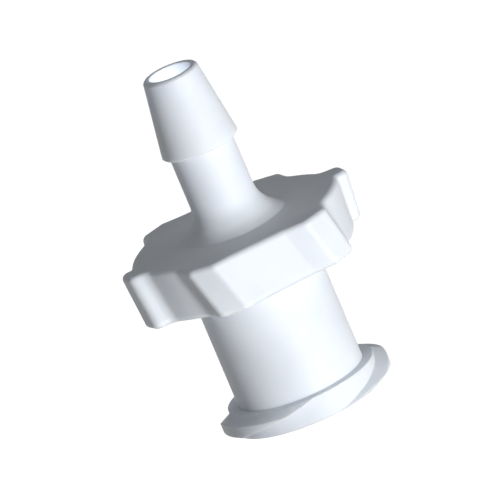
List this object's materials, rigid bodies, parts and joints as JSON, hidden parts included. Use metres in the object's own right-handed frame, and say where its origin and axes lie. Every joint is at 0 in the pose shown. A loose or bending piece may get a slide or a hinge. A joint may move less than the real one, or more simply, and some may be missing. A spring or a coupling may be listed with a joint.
{
  "type": "luer lock fitting",
  "caption": "Moulded adaptor with a female luer lock socket at one end, a lobed and twisted grip collar in the middle and a single hose barb for soft tubing at the other end.",
  "frame": {"origin": "centre of the luer socket's mouth, on the flat end face that the fitting stands on", "axes": "+Z along the bore from the socket's mouth to the tip of the barb; -Y and +Y through the grip's two wide pads at its mid height; the two narrow lobes stand 5.4 degrees round from +X and -X there"},
  "size_m": [0.0108, 0.0098, 0.016],
  "materials": {
    "white_polypropylene": "satin white polypropylene, as moulded"
  },
  "bodies": {
    "root": {"luer_fitting": "white_polypropylene"}
  },
  "joints": []
}
